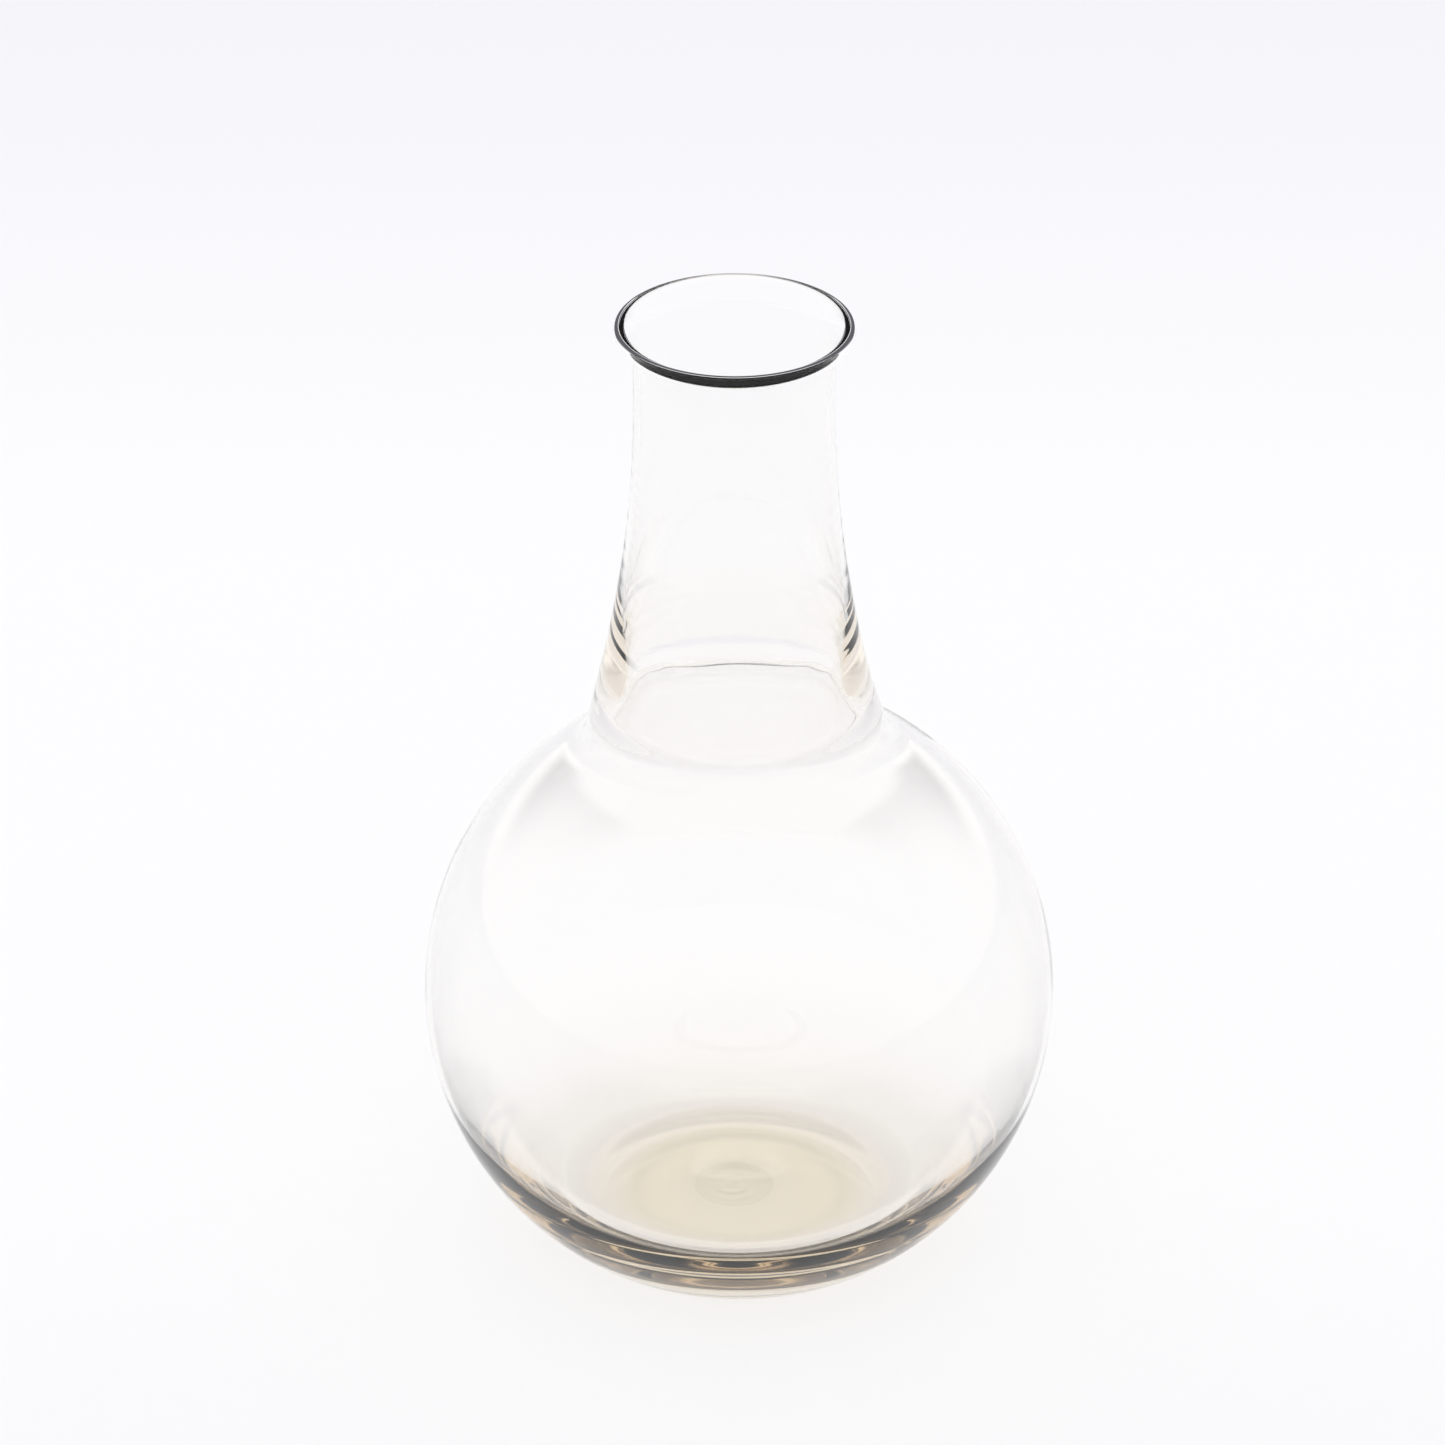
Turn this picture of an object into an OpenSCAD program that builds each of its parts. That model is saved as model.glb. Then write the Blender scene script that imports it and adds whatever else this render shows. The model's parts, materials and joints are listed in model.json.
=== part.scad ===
// Flat-bottomed round flask of hand-blown glass, standing on its foot.
// The axis is +Z, the foot rests on z = 0 and the origin is the centre of the foot.
// Sizes are in millimetres.

/* [Bulb] */
// Outer radius of the round bulb
bulb_r = 65; // [60:0.5:75]
// Height of the bulb's centre above the foot
bulb_z = 53.8; // [52:0.1:60]
// Wall thickness of the upper bulb, the neck and the mouth
wall_t = 1.1; // [0.8:0.1:1.4]

/* [Base] */
// Radius of the rounded heel between the bulb and the flat foot
heel_r = 14; // [8:0.5:18]
// Angle below the bulb's equator where the glass starts to thicken
thicken_angle = 14.8; // [10:0.1:20]
// Radius of the cavity's lower corner, above the heel
corner_r = 45; // [38:0.5:46]
// Radius of the wad of glass left by the punty iron
seal_r = 8.4; // [5:0.1:9]
// Thickness of that wad at its centre
seal_t = 0.45; // [0.3:0.05:0.6]
// Radius of the shallow hollow under the foot that keeps the wad off the table
hollow_r = 20; // [14:0.5:22]
// Height of that hollow at its centre
hollow_h = 0.9; // [0.8:0.1:1.4]

/* [Neck] */
// Outer radius of the neck where it is straight
neck_r = 20; // [17:0.5:24]
// Height of the neck's straight stretch under the mouth
straight_h = 8.5; // [5:0.5:20]
// Radius of the long sweep by which the neck widens towards the bulb
sweep_r = 268; // [200:1:320]
// Angle through which that sweep turns
sweep_angle = 16.3; // [13:0.1:19]
// Radius of the tight shoulder curve between the sweep and the bulb
shoulder_r = 12; // [8:0.5:20]
// How much thicker than the wall the glass is in the collar round the foot of the neck
collar_t = 2.6; // [0:0.1:3.2]
// Height at which that collar is thickest
collar_z = 124; // [122:0.5:130]
// Height over which the collar thins out above its thickest place
collar_up = 13; // [6:0.5:16]
// Height over which the collar thins out below its thickest place
collar_down = 4; // [3:0.5:5]

/* [Mouth] */
// Radius of the curve that turns the mouth outwards
flare_r = 8.5; // [7:0.5:12]
// Angle through which the mouth turns outwards
flare_angle = 50; // [40:1:55]
// Width of the section of the glass thread wrapped round the lip
wrap_w = 1.6; // [1.4:0.1:2.4]
// Height of the section of that thread
wrap_h = 2.4; // [2:0.1:3.2]

/* [Hidden] */

$fn = 96;

// Farthest that a section's straight steps stray from its true curve
CURVE_TOL = 0.03;
// Longest step along the inner face of the neck, where the thickness changes
NECK_STEP = 1;
// Points round the section of the lip's thread
WRAP_POINTS = 24;
// Steps along the curve of the hollow, and along the wad's underside
HOLLOW_STEPS = 24;
SEAL_STEPS = 16;
// Thickness of the wad's edge
SEAL_EDGE = 0.06;

foot_r = sqrt(pow(bulb_r - heel_r, 2) - pow(bulb_z - heel_r, 2));
heel_top = atan2(heel_r - bulb_z, foot_r);

shoulder_x = neck_r + sweep_r - (sweep_r - shoulder_r) * cos(sweep_angle);
shoulder_z = bulb_z + sqrt(pow(bulb_r + shoulder_r, 2) - pow(shoulder_x, 2));
shoulder_angle = atan2(shoulder_z - bulb_z, shoulder_x);
sweep_x = neck_r + sweep_r;
sweep_z = shoulder_z + (sweep_r - shoulder_r) * sin(sweep_angle);

flare_x = neck_r + flare_r;
flare_z = sweep_z + straight_h;
lip_angle = 180 - flare_angle;

cavity_r = bulb_r - wall_t;
corner_x = (cavity_r - corner_r) * cos(thicken_angle);
corner_z = bulb_z - (cavity_r - corner_r) * sin(thicken_angle);

// The thread is centred on the outer edge of the turned-out mouth
wrap_x = flare_x + flare_r * cos(lip_angle) + wrap_w / 4;
wrap_z = flare_z + flare_r * sin(lip_angle) + wrap_h / 4;

// Points of a curve of radius r round [x, z], from one angle to another
function arc(x, z, r, from, to) =
    let (steps = ceil(abs(to - from) / (2 * acos(1 - CURVE_TOL / r))))
    [for (i = [0:steps]) let (a = from + (to - from) * i / steps) [x + r * cos(a), z + r * sin(a)]];

// Thickness of the glass where the neck's outer face is at height z
function wall_at(z) =
    wall_t + collar_t * exp(-pow((z - collar_z) / (z > collar_z ? collar_up : collar_down), 2));

// Inner face of a neck whose outer face is a curve of radius r round [x, z]
function neck_face(x, z, r, from, to) =
    let (steps = ceil(abs(to - from) * PI / 180 * r / NECK_STEP))
    [for (i = [0:steps])
        let (a = from + (to - from) * i / steps, inner_r = r + wall_at(z + r * sin(a)))
        [x + inner_r * cos(a), z + inner_r * sin(a)]];

// Height of the hollow under the foot at radius r
function hollow_at(r) = hollow_h * (1 + cos(180 * min(r / hollow_r, 1))) / 2;

// Outer face of the blown glass, from the centre of the base up to the lip
function outer_face() = concat(
    [for (i = [0:HOLLOW_STEPS]) let (r = hollow_r * i / HOLLOW_STEPS) [r, hollow_at(r)]],
    arc(foot_r, heel_r, heel_r, -90, heel_top),
    arc(0, bulb_z, bulb_r, heel_top, shoulder_angle),
    arc(shoulder_x, shoulder_z, shoulder_r, 180 + shoulder_angle, 180 + sweep_angle),
    arc(sweep_x, sweep_z, sweep_r, 180 + sweep_angle, 180),
    arc(flare_x, flare_z, flare_r, 180, lip_angle)
);

// Inner face of the blown glass, from the lip down to the centre of the cavity's floor
function inner_face() = concat(
    arc(flare_x, flare_z, flare_r + wall_t, lip_angle, 180),
    neck_face(sweep_x, sweep_z, sweep_r, 180, 180 + sweep_angle),
    neck_face(shoulder_x, shoulder_z, shoulder_r, 180 + sweep_angle, 180 + shoulder_angle),
    arc(0, bulb_z, cavity_r, shoulder_angle, -thicken_angle),
    arc(corner_x, corner_z, corner_r, -thicken_angle, -90),
    [[0, corner_z - corner_r]]
);

module body_section() {
    polygon(concat(outer_face(), inner_face()));
}

// The bulb, the neck, the mouth and the base are one blown bubble
module flask_body() {
    color([0.93, 0.91, 0.85, 0.35])
        rotate_extrude()
            body_section();
}

// Thread of glass laid round the outer edge of the lip
module lip_wrap() {
    color([0.16, 0.15, 0.16])
        rotate_extrude()
            difference() {
                polygon([for (i = [0:WRAP_POINTS - 1])
                    let (a = i * 360 / WRAP_POINTS)
                    [wrap_x + wrap_w / 2 * cos(a), wrap_z + wrap_h / 2 * sin(a)]]);
                body_section();
            }
}

// Thickness of the wad at radius r
function seal_at(r) = max(SEAL_EDGE, seal_t * (1 + cos(180 * r / seal_r)) / 2);

// Wad of glass that stays in the hollow where the punty iron was cracked off
module pontil_seal() {
    color([0.88, 0.85, 0.77, 0.5])
        rotate_extrude()
            polygon(concat(
                [for (i = [0:SEAL_STEPS]) let (r = seal_r * i / SEAL_STEPS) [r, hollow_at(r) - seal_at(r)]],
                [for (i = [SEAL_STEPS:-1:0]) let (r = seal_r * i / SEAL_STEPS) [r, hollow_at(r)]]
            ));
}

flask_body();
lip_wrap();
pontil_seal();
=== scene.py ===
import json
import math

import bpy
import numpy as np
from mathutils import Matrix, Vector


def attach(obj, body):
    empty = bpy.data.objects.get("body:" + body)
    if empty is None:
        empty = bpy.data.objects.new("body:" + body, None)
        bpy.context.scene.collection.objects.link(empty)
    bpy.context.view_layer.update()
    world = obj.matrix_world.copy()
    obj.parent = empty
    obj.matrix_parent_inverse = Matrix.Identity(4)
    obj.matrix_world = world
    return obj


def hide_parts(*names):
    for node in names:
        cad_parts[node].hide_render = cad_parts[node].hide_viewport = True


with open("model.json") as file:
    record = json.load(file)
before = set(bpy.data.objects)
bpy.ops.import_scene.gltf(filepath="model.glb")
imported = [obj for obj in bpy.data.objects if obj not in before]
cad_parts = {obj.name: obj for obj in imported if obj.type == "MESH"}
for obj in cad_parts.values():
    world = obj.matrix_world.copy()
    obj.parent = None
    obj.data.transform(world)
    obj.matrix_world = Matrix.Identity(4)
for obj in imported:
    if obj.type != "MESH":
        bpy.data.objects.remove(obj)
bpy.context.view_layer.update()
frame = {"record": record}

MM = 0.001


# ---------------------------------------------------------------- sizes, from the frame

def mount(name):
    return next(m for m in frame["record"]["mounts"] if m["name"] == name)


NECK_R = mount("neck_outside")["dims"]["r_mm"] * MM
BORE_R = mount("neck_bore")["dims"]["r_mm"] * MM
BORE_L = mount("neck_bore")["dims"]["length_mm"] * MM
BORE_Z = mount("neck_bore")["pos_m"][2]
WALL = NECK_R - BORE_R
SWEEP_Z = BORE_Z - BORE_L / 2
FLARE_Z = BORE_Z + BORE_L / 2

# The bulb and the rounded heel it stands on
BULB_R = 65.0 * MM
BULB_Z = 53.8 * MM
HEEL_R = 14.0 * MM
FOOT_R = math.sqrt((BULB_R - HEEL_R) ** 2 - (BULB_Z - HEEL_R) ** 2)
HEEL_TOP = math.atan2(HEEL_R - BULB_Z, FOOT_R)

# The neck: a long sweep, and a tight shoulder curve where it meets the bulb
SWEEP_R = 268.0 * MM
SWEEP_ANGLE = math.radians(16.3)
SHOULDER_R = 12.0 * MM
SHOULDER_X = NECK_R + SWEEP_R - (SWEEP_R - SHOULDER_R) * math.cos(SWEEP_ANGLE)
SHOULDER_Z = BULB_Z + math.sqrt((BULB_R + SHOULDER_R) ** 2 - SHOULDER_X ** 2)
SHOULDER_ANGLE = math.atan2(SHOULDER_Z - BULB_Z, SHOULDER_X)

# The glass is thicker in a collar round the shoulder
COLLAR_T = 2.6 * MM
COLLAR_Z = 124.0 * MM
COLLAR_UP = 13.0 * MM
COLLAR_DOWN = 4.0 * MM

# The cavity's lower corner, which leaves the base thick
CAVITY_R = BULB_R - WALL
THICKEN_ANGLE = math.radians(14.8)
CORNER_R = 45.0 * MM
CORNER_X = (CAVITY_R - CORNER_R) * math.cos(THICKEN_ANGLE)
CORNER_Z = BULB_Z - (CAVITY_R - CORNER_R) * math.sin(THICKEN_ANGLE)

# The mouth turns out. A dark thread round its edge is painted shade: it stands for the shade that the
# lip's edge shows in front, so it is thick in front and a hair behind.
# The thread's half-sizes, in front and behind, are given across the lip's wall and along it.
FLARE_R = 8.5 * MM
FLARE_ANGLE = math.radians(50.0)
LIP_ANGLE = math.pi - FLARE_ANGLE
THREAD_ACROSS = (1.28 * MM, 0.05 * MM)
THREAD_ALONG = (1.05 * MM, 0.04 * MM)
THREAD_TAPER = 0.95
# In front, how far the thread comes over the lip's upper face, and how far it sinks into its edge
THREAD_OVER = 0.30 * MM
THREAD_SINK = 0.45 * MM

# The neck stands a little to one side, and leans over from this height, over this length
NECK_OFF = 1.06 * MM
NECK_OFF_Z = 100 * MM
NECK_OFF_L = 30 * MM

# The rim is a little higher behind than in front: the rise per length, and where it starts
RIM_TILT = 0.018
RIM_TILT_Z = 180 * MM
RIM_TILT_L = 20 * MM

# Tool marks inside the neck are two crossed spirals, given by pitch. They fade at both ends.
MARK_H = 0.004 * MM
MARK_PITCH = 3.3 * MM
MARK_PITCH_2 = 5.1 * MM
MARK_SHARE_2 = 0.6
MARK_Z = 116 * MM
MARK_FADE_LOW = 12 * MM
MARK_TOP_Z = 190 * MM
MARK_FADE_TOP = 20 * MM

# The hollow under the foot and the wad that the punty left in it
HOLLOW_R = 20.0 * MM
HOLLOW_H = 0.9 * MM
SEAL_R = 8.4 * MM
SEAL_T = 0.45 * MM
SEAL_EDGE = 0.05
SEAL_X = -1.0 * MM
SEAL_Y = 3.0 * MM
JOIN_GAP = 0.01 * MM

# The spiral under the wad, and how it fades towards the wad's edge and its centre
COIL_H = 0.04 * MM
COIL_PITCH = 3.0 * MM
COIL_FADE_EDGE = 3 * MM
COIL_FADE_CENTRE = 1.5 * MM

# Steps of the curves and of the finished outline, and how often its corners are smoothed
CURVE_STEP = 0.3 * MM
STEP = 0.4 * MM
SOFTENING = 5
TINY = 1e-7
SIDES = 256
SEAL_SIDES = 128
THREAD_POINTS = 48
HOLLOW_POINTS = 60
SEAL_POINTS = 70


# ---------------------------------------------------------------- curves and meshes

def smooth(t):
    """Eases from 0 to 1 as t goes from 0 to 1."""
    t = np.clip(t, 0, 1)
    return t * t * (3 - 2 * t)


def wall_at(z):
    """Thickness of the glass where the outer face is at height z."""
    width = np.where(z > COLLAR_Z, COLLAR_UP, COLLAR_DOWN)
    return WALL + COLLAR_T * np.exp(-((z - COLLAR_Z) / width) ** 2)


def arc(x, z, r, start, end, inward=0):
    """Points of a curve round (x, z). With inward, the glass's inner face behind that curve."""
    count = max(3, int(abs(end - start) * r / CURVE_STEP))
    t = np.linspace(start, end, count)
    depth = inward * wall_at(z + r * np.sin(t)) if inward else 0
    return np.stack([x + (r + depth) * np.cos(t), z + (r + depth) * np.sin(t)], 1)


def line(a, b):
    """Points of the straight line from a to b."""
    count = max(3, int(math.dist(a, b) / CURVE_STEP))
    return np.linspace(a, b, count)


def even(points, step):
    """The same outline with its points one step apart."""
    gap = np.linalg.norm(np.diff(points, axis=0), axis=1)
    points = points[np.r_[True, gap > TINY]]
    along = np.r_[0, np.cumsum(np.linalg.norm(np.diff(points, axis=0), axis=1))]
    at = np.linspace(0, along[-1], int(along[-1] / step) + 1)
    return np.stack([np.interp(at, along, points[:, 0]), np.interp(at, along, points[:, 1])], 1)


def soften(points, rounds):
    """Rounds an outline's corners. Its two ends stay where they are."""
    for _ in range(rounds):
        points[1:-1] = (points[:-2] + 2 * points[1:-1] + points[2:]) / 4
    return points


def revolve(name, outline, sides, shape=None):
    """Closed mesh of revolution. The outline starts and ends on the axis, or is a closed loop."""
    on_axis = outline[0][0] < TINY and outline[-1][0] < TINY
    ring = outline[1:-1] if on_axis else outline
    turn = np.linspace(0, 2 * math.pi, sides, endpoint=False)
    r, z = ring[:, 0][:, None], ring[:, 1][:, None]
    verts = np.stack([r * np.cos(turn), r * np.sin(turn), z + 0 * turn], -1).reshape(-1, 3)
    if on_axis:
        verts = np.vstack([verts, [0, 0, outline[0][1]], [0, 0, outline[-1][1]]])
    if shape:
        verts = shape(verts)
    faces = []
    rows = len(ring)
    spans = range(rows - 1) if on_axis else range(rows)
    for i in spans:
        a, b = i * sides, (i + 1) % rows * sides
        for j in range(sides):
            k = (j + 1) % sides
            faces.append((a + j, a + k, b + k, b + j))
    if on_axis:
        first, last = rows * sides, rows * sides + 1
        top = (rows - 1) * sides
        faces += [(first, (j + 1) % sides, j) for j in range(sides)]
        faces += [(last, top + j, top + (j + 1) % sides) for j in range(sides)]
    mesh = bpy.data.meshes.new(name)
    mesh.from_pydata(verts.tolist(), [], faces)
    mesh.polygons.foreach_set("use_smooth", [True] * len(faces))
    mesh.update()
    obj = bpy.data.objects.new(name, mesh)
    bpy.context.scene.collection.objects.link(obj)
    return obj


# ---------------------------------------------------------------- materials

# Blown glass is never quite flat, so its faces carry faint waves about 25 mm long
WAVES_PER_M = 40.0
WAVE_H = 0.02 * MM

# What the glass absorbs. The thread is dark through and through, as painted shade for the lip's edge.
PALE = (0.69, 0.50, 0.18)
PALE_DENSITY = 16.0
LIP_SHADE_DARK = (0.10, 0.0, 0.04)
LIP_SHADE_DARK_DENSITY = 3400.0

# Refractive indices. Those of the thread and the wad are set below glass, for weaker reflections.
GLASS_IOR = 1.5
THREAD_IOR = 1.28
SEAL_IOR = 1.25

# Painted shade under the foot: a brown tint for the shadowed, amber-lit paper beneath it, and how far
# it fades outside and inside the foot's edge
FOOT_SHADE = (1.0, 0.95, 0.79)
FOOT_SHADE_OUT = 5 * MM
FOOT_SHADE_IN = 14 * MM


def glass(name, absorb, density, ior):
    """Clear glass that absorbs by thickness, with faint waves in its faces."""
    m = bpy.data.materials.new(name)
    m.use_nodes = True
    nt = m.node_tree
    nt.nodes.clear()
    out = nt.nodes.new("ShaderNodeOutputMaterial")
    p = nt.nodes.new("ShaderNodeBsdfPrincipled")
    v = nt.nodes.new("ShaderNodeVolumeAbsorption")
    p.inputs["Base Color"].default_value = (1, 1, 1, 1)
    p.inputs["Roughness"].default_value = 0.0
    p.inputs["IOR"].default_value = ior
    p.inputs["Transmission Weight"].default_value = 1.0
    v.inputs["Color"].default_value = (*absorb, 1)
    v.inputs["Density"].default_value = density
    place = nt.nodes.new("ShaderNodeTexCoord")
    waves = nt.nodes.new("ShaderNodeTexNoise")
    bump = nt.nodes.new("ShaderNodeBump")
    waves.inputs["Scale"].default_value = WAVES_PER_M
    waves.inputs["Detail"].default_value = 1.0
    bump.inputs["Strength"].default_value = 1.0
    bump.inputs["Distance"].default_value = WAVE_H
    nt.links.new(place.outputs["Object"], waves.inputs["Vector"])
    nt.links.new(waves.outputs["Fac"], bump.inputs["Height"])
    nt.links.new(bump.outputs["Normal"], p.inputs["Normal"])
    nt.links.new(p.outputs["BSDF"], out.inputs["Surface"])
    nt.links.new(v.outputs["Volume"], out.inputs["Volume"])
    return m


def paint_foot_shade(m):
    """Paints shade on the foot's underside, up past the roof of its hollow: a faint brown tint for the
    shadowed paper seen through the base.
    """
    nt = m.node_tree
    new, link = nt.nodes.new, nt.links.new
    place = new("ShaderNodeTexCoord")
    axes = new("ShaderNodeSeparateXYZ")
    away = new("ShaderNodeVectorMath")
    away.operation = "LENGTH"
    near_axis = new("ShaderNodeMapRange")
    near_axis.interpolation_type = "SMOOTHSTEP"
    near_axis.inputs["From Min"].default_value = FOOT_R + FOOT_SHADE_OUT
    near_axis.inputs["From Max"].default_value = FOOT_R - FOOT_SHADE_IN
    low = new("ShaderNodeMapRange")
    low.inputs["From Min"].default_value = 2 * HOLLOW_H
    low.inputs["From Max"].default_value = 1.5 * HOLLOW_H
    both = new("ShaderNodeMath")
    both.operation = "MULTIPLY"
    tint = new("ShaderNodeMix")
    tint.data_type = "RGBA"
    tint.inputs["A"].default_value = (1, 1, 1, 1)
    tint.inputs["B"].default_value = (*FOOT_SHADE, 1)
    link(place.outputs["Object"], axes.inputs[0])
    link(place.outputs["Object"], away.inputs[0])
    link(away.outputs["Value"], near_axis.inputs["Value"])
    link(axes.outputs["Z"], low.inputs["Value"])
    link(near_axis.outputs["Result"], both.inputs[0])
    link(low.outputs["Result"], both.inputs[1])
    link(both.outputs["Value"], tint.inputs["Factor"])
    link(tint.outputs["Result"], nt.nodes["Principled BSDF"].inputs["Base Color"])


smoke_glass = glass("smoke_amber_glass", PALE, PALE_DENSITY, GLASS_IOR)
# Painted shade: the foot's underside gets a brown tint for the shadowed paper under it
paint_foot_shade(smoke_glass)
# The thread's dark glass is painted shade at the lip's edge
lip_shade_glass = glass("lip_painted_shade_glass", LIP_SHADE_DARK, LIP_SHADE_DARK_DENSITY, THREAD_IOR)
seal_glass = glass("punty_seal_glass", PALE, PALE_DENSITY, SEAL_IOR)


# ---------------------------------------------------------------- the blown body

def roof(r):
    """Height of the hollow under the foot, at radius r."""
    return HOLLOW_H * (1 + np.cos(math.pi * np.minimum(r / HOLLOW_R, 1))) / 2


hollow_x = np.linspace(0, HOLLOW_R, HOLLOW_POINTS)
outer = np.vstack([
    np.stack([hollow_x, roof(hollow_x)], 1),
    line((HOLLOW_R, 0), (FOOT_R, 0)),
    arc(FOOT_R, HEEL_R, HEEL_R, -math.pi / 2, HEEL_TOP),
    arc(0, BULB_Z, BULB_R, HEEL_TOP, SHOULDER_ANGLE),
    arc(SHOULDER_X, SHOULDER_Z, SHOULDER_R, math.pi + SHOULDER_ANGLE, math.pi + SWEEP_ANGLE),
    arc(NECK_R + SWEEP_R, SWEEP_Z, SWEEP_R, math.pi + SWEEP_ANGLE, math.pi),
    line((NECK_R, SWEEP_Z), (NECK_R, FLARE_Z)),
    arc(NECK_R + FLARE_R, FLARE_Z, FLARE_R, math.pi, LIP_ANGLE),
])
inner = np.vstack([
    arc(NECK_R + FLARE_R, FLARE_Z, FLARE_R + WALL, LIP_ANGLE, math.pi),
    line((BORE_R, FLARE_Z), (BORE_R, SWEEP_Z)),
    arc(NECK_R + SWEEP_R, SWEEP_Z, SWEEP_R, math.pi, math.pi + SWEEP_ANGLE, 1),
    arc(SHOULDER_X, SHOULDER_Z, SHOULDER_R, math.pi + SWEEP_ANGLE, math.pi + SHOULDER_ANGLE, 1),
    arc(0, BULB_Z, BULB_R, SHOULDER_ANGLE, -THICKEN_ANGLE, -1),
    arc(CORNER_X, CORNER_Z, CORNER_R, -THICKEN_ANGLE, -math.pi / 2),
    line((CORNER_X, CORNER_Z - CORNER_R), (0, CORNER_Z - CORNER_R)),
])

lip_end = line(outer[-1], inner[0])[1:-1]
outline = soften(even(np.vstack([outer, lip_end, inner]), STEP), SOFTENING)
outline[0, 0] = outline[-1, 0] = 0


def outer_r(z):
    """Radius of the outer face above the bulb's equator."""
    top = outer[np.argmax(outer[:, 0]):]
    return np.interp(z, top[:, 1], top[:, 0])


def hand_made(v):
    """Neck a little off the bulb's axis, rim a little tilted, tool marks inside the neck."""
    x, y, z = v.T.copy()
    r, turn = np.hypot(x, y), np.arctan2(y, x)
    up = smooth((z - NECK_OFF_Z) / NECK_OFF_L)
    inside = (r < outer_r(z) - WALL / 2) & (z > BULB_Z)
    marks = np.sin(2 * math.pi * z / MARK_PITCH + turn)
    marks = marks + MARK_SHARE_2 * np.sin(2 * math.pi * z / MARK_PITCH_2 - 2 * turn + 1)
    zone = smooth((z - MARK_Z) / MARK_FADE_LOW) * smooth((MARK_TOP_Z - z) / MARK_FADE_TOP)
    scale = 1 + np.where(inside, MARK_H * marks * zone / np.maximum(r, MM), 0)
    x = x * scale - NECK_OFF * up
    z = z + RIM_TILT * y * smooth((z - RIM_TILT_Z) / RIM_TILT_L)
    return np.stack([x, y * scale, z], 1)


flask = revolve("flask_glass", outline, SIDES, hand_made)
flask.data.materials.append(smoke_glass)
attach(flask, "root")
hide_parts("flask_body")

# The thread starts as a ring with a section of radius 1, in no particular unit
RING_R = 3.0


def thread(v):
    """Turns an evenly thick ring into the thread of painted shade: its section swells and shrinks round
    the lip, thickest on the camera's side.
    """
    turn = np.arctan2(v[:, 1], v[:, 0])
    front = ((1 - np.sin(turn)) / 2) ** THREAD_TAPER
    across = THREAD_ACROSS[1] + (THREAD_ACROSS[0] - THREAD_ACROSS[1]) * front
    along = THREAD_ALONG[1] + (THREAD_ALONG[0] - THREAD_ALONG[1]) * front
    u, w = np.hypot(v[:, 0], v[:, 1]) - RING_R, v[:, 2]
    onward = np.array([math.sin(LIP_ANGLE), -math.cos(LIP_ANGLE)])
    below = np.array([-math.cos(LIP_ANGLE), -math.sin(LIP_ANGLE)])
    edge = (outer[-1] + inner[0]) / 2
    out = edge + np.outer(along * (1 + u) - THREAD_SINK * front, onward)
    out = out + np.outer(across * (1 + w) - THREAD_OVER * front, below)
    return hand_made(np.stack([out[:, 0] * np.cos(turn), out[:, 0] * np.sin(turn), out[:, 1]], 1))


around = np.linspace(0, 2 * math.pi, THREAD_POINTS, endpoint=False)
# The thread is painted shade: dark glass, thick towards the camera, standing for the shade at the lip's
# edge
lip = revolve("lip_painted_shade", np.stack([RING_R + np.cos(around), np.sin(around)], 1), SIDES, thread)
lip.data.materials.append(lip_shade_glass)
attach(lip, "root")
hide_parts("lip_wrap")


def seal_section():
    """The wad's outline: it hangs under the hollow's roof, thick in the middle and thin at its edge."""
    r = SEAL_R * np.sin(np.linspace(0, math.pi / 2, SEAL_POINTS))
    depth = SEAL_T * (SEAL_EDGE + (1 - SEAL_EDGE) * (1 + np.cos(math.pi * r / SEAL_R)) / 2)
    under = np.stack([r, roof(r) - JOIN_GAP - depth], 1)
    top = np.stack([r, roof(r) - JOIN_GAP], 1)
    return np.vstack([under, top[::-1]])


def coiled(v):
    """Draws the spiral on the wad's underside, and moves the wad to its place under the roof."""
    x, y, z = v.T.copy()
    r, turn = np.hypot(x, y), np.arctan2(y, x)
    wave = np.sin(2 * math.pi * r / COIL_PITCH + turn)
    fade = smooth((SEAL_R - r) / COIL_FADE_EDGE) * smooth(r / COIL_FADE_CENTRE)
    low = z < roof(r) - 1.5 * JOIN_GAP
    z = z + np.where(low, COIL_H * wave * fade, 0)
    moved = np.hypot(x + SEAL_X, y + SEAL_Y)
    return np.stack([x + SEAL_X, y + SEAL_Y, z + roof(moved) - roof(r)], 1)


seal = revolve("punty_seal", seal_section(), SEAL_SIDES, coiled)
seal.data.materials.append(seal_glass)
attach(seal, "root")
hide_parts("pontil_seal")

# ---------------------------------------------------------------- floor, light and camera

# Half the floor's side. It lies just under the foot, so that the two faces don't coincide.
FLOOR = 12.0
FLOOR_Z = -0.05 * MM

# The paper's tones, and between which Y they change, from the front to the far end. The darker front
# and far tones are painted shade, where the light on the paper falls off.
PAPER_FRONT_Y = -0.16
PAPER_FAR_Y = 0.66
PAPER_FRONT_SHADE = (0.830, 0.835, 0.845)
PAPER = (0.868, 0.871, 0.880)
PAPER_FAR_SHADE = (0.800, 0.800, 0.835)
PAPER_SPAN = (0.22, 0.55)

# The dim room's edges, as the X, Y and Z of the direction from the flask, each from soft to full
ROOM_Y = (0.05, 0.35)
ROOM_LOW_Z = (0.06, 0.22)
ROOM_SIDE_X = (0.55, 0.85)
ROOM_TOP_Z = (0.86, 0.96)
TENT = (1.14, 1.134, 1.14)
ROOM = (0.12, 0.115, 0.13)

mesh = bpy.data.meshes.new("floor")
corners = [(x * FLOOR, y * FLOOR, FLOOR_Z) for x, y in ((-1, -1), (1, -1), (1, 1), (-1, 1))]
mesh.from_pydata(corners, [], [(0, 1, 2, 3)])
floor = bpy.data.objects.new("floor", mesh)
bpy.context.scene.collection.objects.link(floor)


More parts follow.
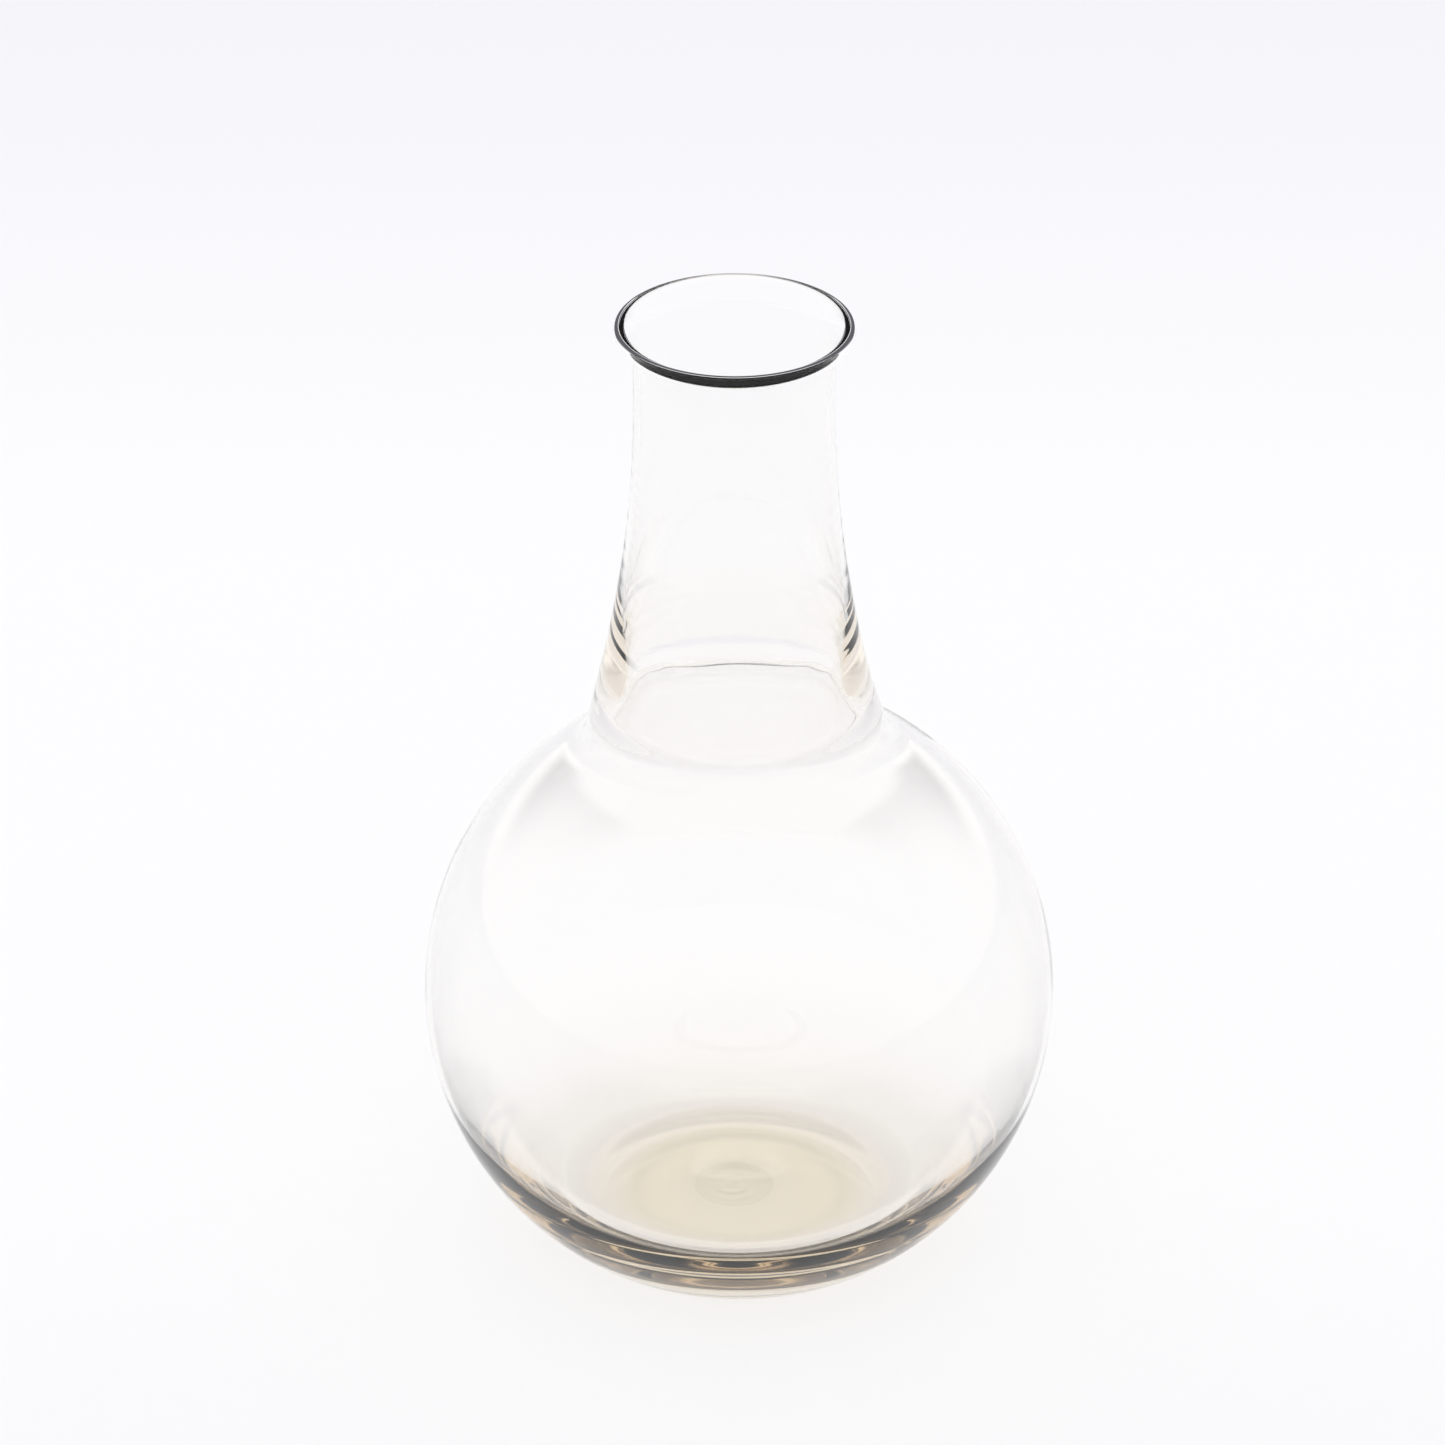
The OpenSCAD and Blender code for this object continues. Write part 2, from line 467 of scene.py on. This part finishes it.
def floor_paper():
    """White paper with painted shade: it darkens a little towards the front and the far edge."""
    m = bpy.data.materials.new("floor_paper")
    m.use_nodes = True
    nt = m.node_tree
    new, link = nt.nodes.new, nt.links.new
    shader = nt.nodes["Principled BSDF"]
    place = new("ShaderNodeTexCoord")
    axes = new("ShaderNodeSeparateXYZ")
    depth = new("ShaderNodeMapRange")
    tone = new("ShaderNodeValToRGB")
    link(place.outputs["Object"], axes.inputs[0])
    link(axes.outputs["Y"], depth.inputs["Value"])
    depth.inputs["From Min"].default_value = PAPER_FRONT_Y
    depth.inputs["From Max"].default_value = PAPER_FAR_Y
    # The front and far tones are painted shade
    tone.color_ramp.elements[0].color = (*PAPER_FRONT_SHADE, 1)
    tone.color_ramp.elements[1].color = (*PAPER_FAR_SHADE, 1)
    for at in PAPER_SPAN:
        tone.color_ramp.elements.new(at).color = (*PAPER, 1)
    link(depth.outputs["Result"], tone.inputs["Fac"])
    link(tone.outputs["Color"], shader.inputs["Base Color"])
    shader.inputs["Roughness"].default_value = 0.9
    shader.inputs["Specular IOR Level"].default_value = 0.1
    return m


floor.data.materials.append(floor_paper())


def studio(name, tent, room):
    """World: a bright tent, and a dim room behind, which only rays off or through the glass see."""
    w = bpy.data.worlds.new(name)
    w.use_nodes = True
    nt = w.node_tree
    new, link = nt.nodes.new, nt.links.new
    path = new("ShaderNodeLightPath")
    coord = new("ShaderNodeTexCoord")
    axes = new("ShaderNodeSeparateXYZ")
    link(coord.outputs["Generated"], axes.inputs[0])

    def calc(kind, a, b):
        n = new("ShaderNodeMath")
        n.operation = kind
        for socket, v in zip(n.inputs, (a, b)):
            if isinstance(v, float):
                socket.default_value = v
            else:
                link(v, socket)
        return n.outputs[0]

    def ramp(value, low, high):
        n = new("ShaderNodeMapRange")
        n.interpolation_type = "SMOOTHSTEP"
        link(value, n.inputs["Value"])
        n.inputs["From Min"].default_value = low
        n.inputs["From Max"].default_value = high
        return n.outputs["Result"]

    sharp = calc("MAXIMUM", path.outputs["Is Glossy Ray"], path.outputs["Is Transmission Ray"])
    by_glass = calc("MULTIPLY", sharp, calc("LESS_THAN", path.outputs["Diffuse Depth"], 0.5))
    behind = ramp(axes.outputs["Y"], *ROOM_Y)
    above = ramp(axes.outputs["Z"], *ROOM_LOW_Z)
    narrow = calc("SUBTRACT", 1.0, ramp(calc("ABSOLUTE", axes.outputs["X"], 0.0), *ROOM_SIDE_X))
    behind = calc("MULTIPLY", behind, narrow)
    under = calc("SUBTRACT", 1.0, ramp(axes.outputs["Z"], *ROOM_TOP_Z))
    dim = calc("MULTIPLY", calc("MULTIPLY", by_glass, behind), calc("MULTIPLY", above, under))
    mix = new("ShaderNodeMix")
    mix.data_type = "RGBA"
    link(dim, mix.inputs["Factor"])
    mix.inputs["A"].default_value = (*tent, 1)
    mix.inputs["B"].default_value = (*room, 1)
    link(mix.outputs["Result"], nt.nodes["Background"].inputs["Color"])
    return w


bpy.context.scene.world = studio("studio", TENT, ROOM)

scene = bpy.context.scene
scene.view_settings.view_transform = "Standard"
scene.view_settings.look = "None"
# The glossy limit ends the paths that are guided along inside the glass, which keeps its edges dark
scene.cycles.max_bounces = 32
scene.cycles.transmission_bounces = 32
scene.cycles.glossy_bounces = 12
scene.cycles.diffuse_bounces = 4
scene.cycles.transparent_max_bounces = 8
scene.cycles.blur_glossy = 0.0
scene.cycles.caustics_reflective = True
scene.cycles.caustics_refractive = True

# The camera: sensor and lens in millimetres, distance, tilt and the point that it looks at
SENSOR = 36
LENS = 164.7355
DIST = 1.340
TILT = math.radians(29.25)
AIM = Vector((-3.42 * MM, 0, 116.14 * MM))
cam_data = bpy.data.cameras.new("camera")
cam = bpy.data.objects.new("camera", cam_data)
scene.collection.objects.link(cam)
cam_data.sensor_width = SENSOR
cam_data.lens = LENS
cam_data.clip_start = 0.05
cam_data.clip_end = 60
back = Vector((0, -math.cos(TILT), math.sin(TILT)))
cam.location = AIM + back * DIST
cam.rotation_mode = "QUATERNION"
cam.rotation_quaternion = (-back).to_track_quat("-Z", "Y")
scene.camera = cam
